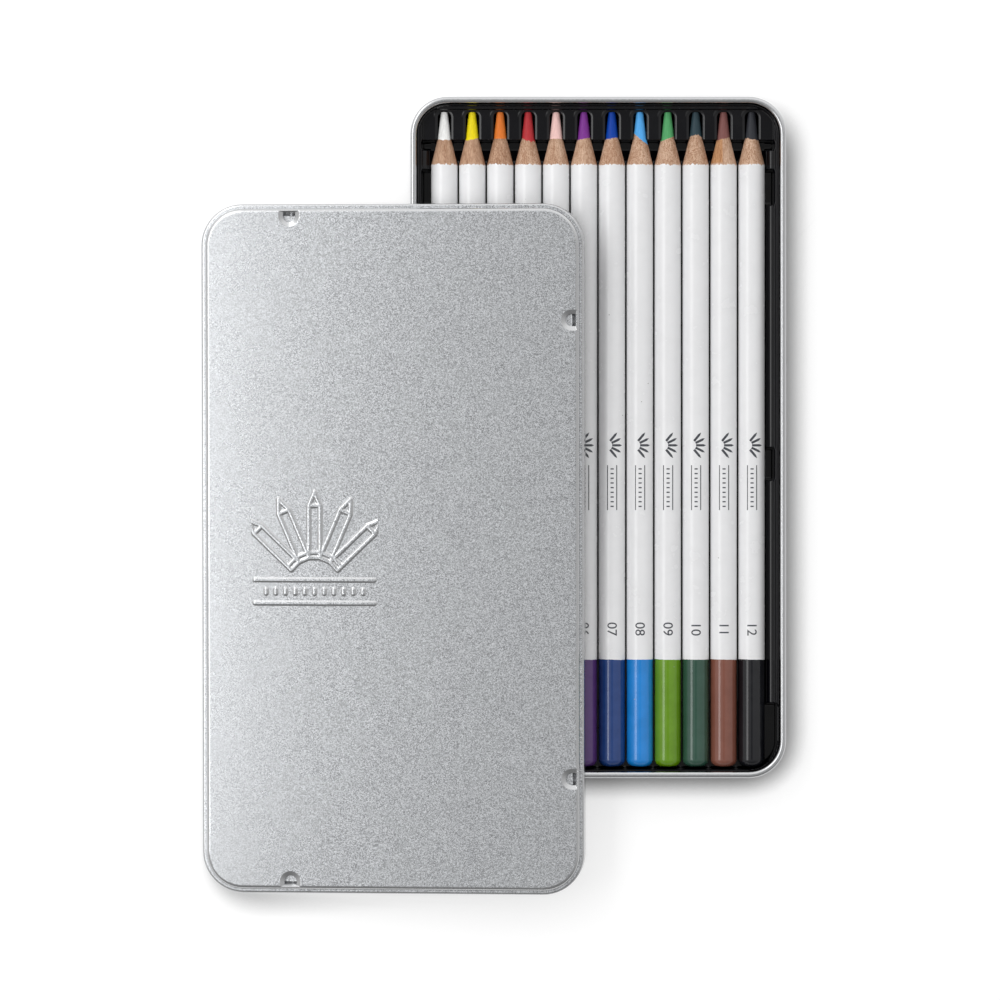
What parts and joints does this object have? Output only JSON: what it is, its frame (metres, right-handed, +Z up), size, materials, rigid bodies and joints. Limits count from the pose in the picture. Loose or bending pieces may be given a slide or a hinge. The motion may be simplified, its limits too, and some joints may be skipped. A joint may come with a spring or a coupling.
{
  "type": "colored pencil tin",
  "caption": "Flat slip-lid tin of round colored pencils in a formed tray, with its stepped lid lying off across the open base, leaning on the rim.",
  "frame": {"origin": "middle of the flat underside of the tin base, on the table", "axes": "+Y along the pencils towards their points, +Z up, +X to the right"},
  "size_m": [0.1561, 0.2127, 0.0206],
  "materials": {
    "tinplate": "satin, finely speckled",
    "tray_plastic": "glossy, vacuum formed",
    "casing_wood": "bare, freshly cut",
    "white_lacquer": "glossy lacquer",
    "core_white": "waxy pigment",
    "dip_white": "glossy dipped lacquer",
    "core_yellow": "waxy pigment",
    "dip_yellow": "glossy dipped lacquer",
    "core_orange": "waxy pigment",
    "dip_orange": "glossy dipped lacquer",
    "core_red": "waxy pigment",
    "dip_red": "glossy dipped lacquer",
    "core_pink": "waxy pigment",
    "dip_pink": "glossy dipped lacquer",
    "core_purple": "waxy pigment",
    "dip_purple": "glossy dipped lacquer",
    "core_blue": "waxy pigment",
    "dip_blue": "glossy dipped lacquer",
    "core_azure": "waxy pigment",
    "dip_azure": "glossy dipped lacquer",
    "core_green": "waxy pigment",
    "dip_green": "glossy dipped lacquer",
    "core_teal": "waxy pigment",
    "dip_teal": "glossy dipped lacquer",
    "core_brown": "waxy pigment",
    "dip_brown": "glossy dipped lacquer",
    "core_black": "waxy pigment",
    "dip_black": "glossy dipped lacquer"
  },
  "bodies": {
    "base": {"base_tin": "tinplate", "tray_insert": "tray_plastic"},
    "lid": {"lid": "tinplate"},
    "pencil_01": {"pencil_01_core": "core_white", "pencil_01_wood": "casing_wood", "pencil_01_lacquer": "white_lacquer", "pencil_01_dip": "dip_white"},
    "pencil_02": {"pencil_02_core": "core_yellow", "pencil_02_wood": "casing_wood", "pencil_02_lacquer": "white_lacquer", "pencil_02_dip": "dip_yellow"},
    "pencil_03": {"pencil_03_core": "core_orange", "pencil_03_wood": "casing_wood", "pencil_03_lacquer": "white_lacquer", "pencil_03_dip": "dip_orange"},
    "pencil_04": {"pencil_04_core": "core_red", "pencil_04_wood": "casing_wood", "pencil_04_lacquer": "white_lacquer", "pencil_04_dip": "dip_red"},
    "pencil_05": {"pencil_05_core": "core_pink", "pencil_05_wood": "casing_wood", "pencil_05_lacquer": "white_lacquer", "pencil_05_dip": "dip_pink"},
    "pencil_06": {"pencil_06_core": "core_purple", "pencil_06_wood": "casing_wood", "pencil_06_lacquer": "white_lacquer", "pencil_06_dip": "dip_purple"},
    "pencil_07": {"pencil_07_core": "core_blue", "pencil_07_wood": "casing_wood", "pencil_07_lacquer": "white_lacquer", "pencil_07_dip": "dip_blue"},
    "pencil_08": {"pencil_08_core": "core_azure", "pencil_08_wood": "casing_wood", "pencil_08_lacquer": "white_lacquer", "pencil_08_dip": "dip_azure"},
    "pencil_09": {"pencil_09_core": "core_green", "pencil_09_wood": "casing_wood", "pencil_09_lacquer": "white_lacquer", "pencil_09_dip": "dip_green"},
    "pencil_10": {"pencil_10_core": "core_teal", "pencil_10_wood": "casing_wood", "pencil_10_lacquer": "white_lacquer", "pencil_10_dip": "dip_teal"},
    "pencil_11": {"pencil_11_core": "core_brown", "pencil_11_wood": "casing_wood", "pencil_11_lacquer": "white_lacquer", "pencil_11_dip": "dip_brown"},
    "pencil_12": {"pencil_12_core": "core_black", "pencil_12_wood": "casing_wood", "pencil_12_lacquer": "white_lacquer", "pencil_12_dip": "dip_black"}
  },
  "joints": [
    {"name": "lid_lift", "type": "slide", "parent": "base", "child": "lid", "axis": [0, 0, 1], "range_m": [0, 0.1]},
    {"name": "pencil_01_turn", "type": "hinge", "parent": "base", "child": "pencil_01", "pos_m": [-0.04109, 0, 0.00524], "axis": [0, 1, 0], "continuous": true},
    {"name": "pencil_02_turn", "type": "hinge", "parent": "base", "child": "pencil_02", "pos_m": [-0.03361, 0, 0.00524], "axis": [0, 1, 0], "continuous": true},
    {"name": "pencil_03_turn", "type": "hinge", "parent": "base", "child": "pencil_03", "pos_m": [-0.02615, 0, 0.00524], "axis": [0, 1, 0], "continuous": true},
    {"name": "pencil_04_turn", "type": "hinge", "parent": "base", "child": "pencil_04", "pos_m": [-0.01868, 0, 0.00524], "axis": [0, 1, 0], "continuous": true},
    {"name": "pencil_05_turn", "type": "hinge", "parent": "base", "child": "pencil_05", "pos_m": [-0.0112, 0, 0.00524], "axis": [0, 1, 0], "continuous": true},
    {"name": "pencil_06_turn", "type": "hinge", "parent": "base", "child": "pencil_06", "pos_m": [-0.00374, 0, 0.00524], "axis": [0, 1, 0], "continuous": true},
    {"name": "pencil_07_lift", "type": "slide", "parent": "base", "child": "pencil_07", "axis": [0, 0, 1], "range_m": [0, 0.05]},
    {"name": "pencil_08_lift", "type": "slide", "parent": "base", "child": "pencil_08", "axis": [0, 0, 1], "range_m": [0, 0.05]},
    {"name": "pencil_09_lift", "type": "slide", "parent": "base", "child": "pencil_09", "axis": [0, 0, 1], "range_m": [0, 0.05]},
    {"name": "pencil_10_lift", "type": "slide", "parent": "base", "child": "pencil_10", "axis": [0, 0, 1], "range_m": [0, 0.05]},
    {"name": "pencil_11_lift", "type": "slide", "parent": "base", "child": "pencil_11", "axis": [0, 0, 1], "range_m": [0, 0.05]},
    {"name": "pencil_12_lift", "type": "slide", "parent": "base", "child": "pencil_12", "axis": [0, 0, 1], "range_m": [0, 0.05]}
  ]
}
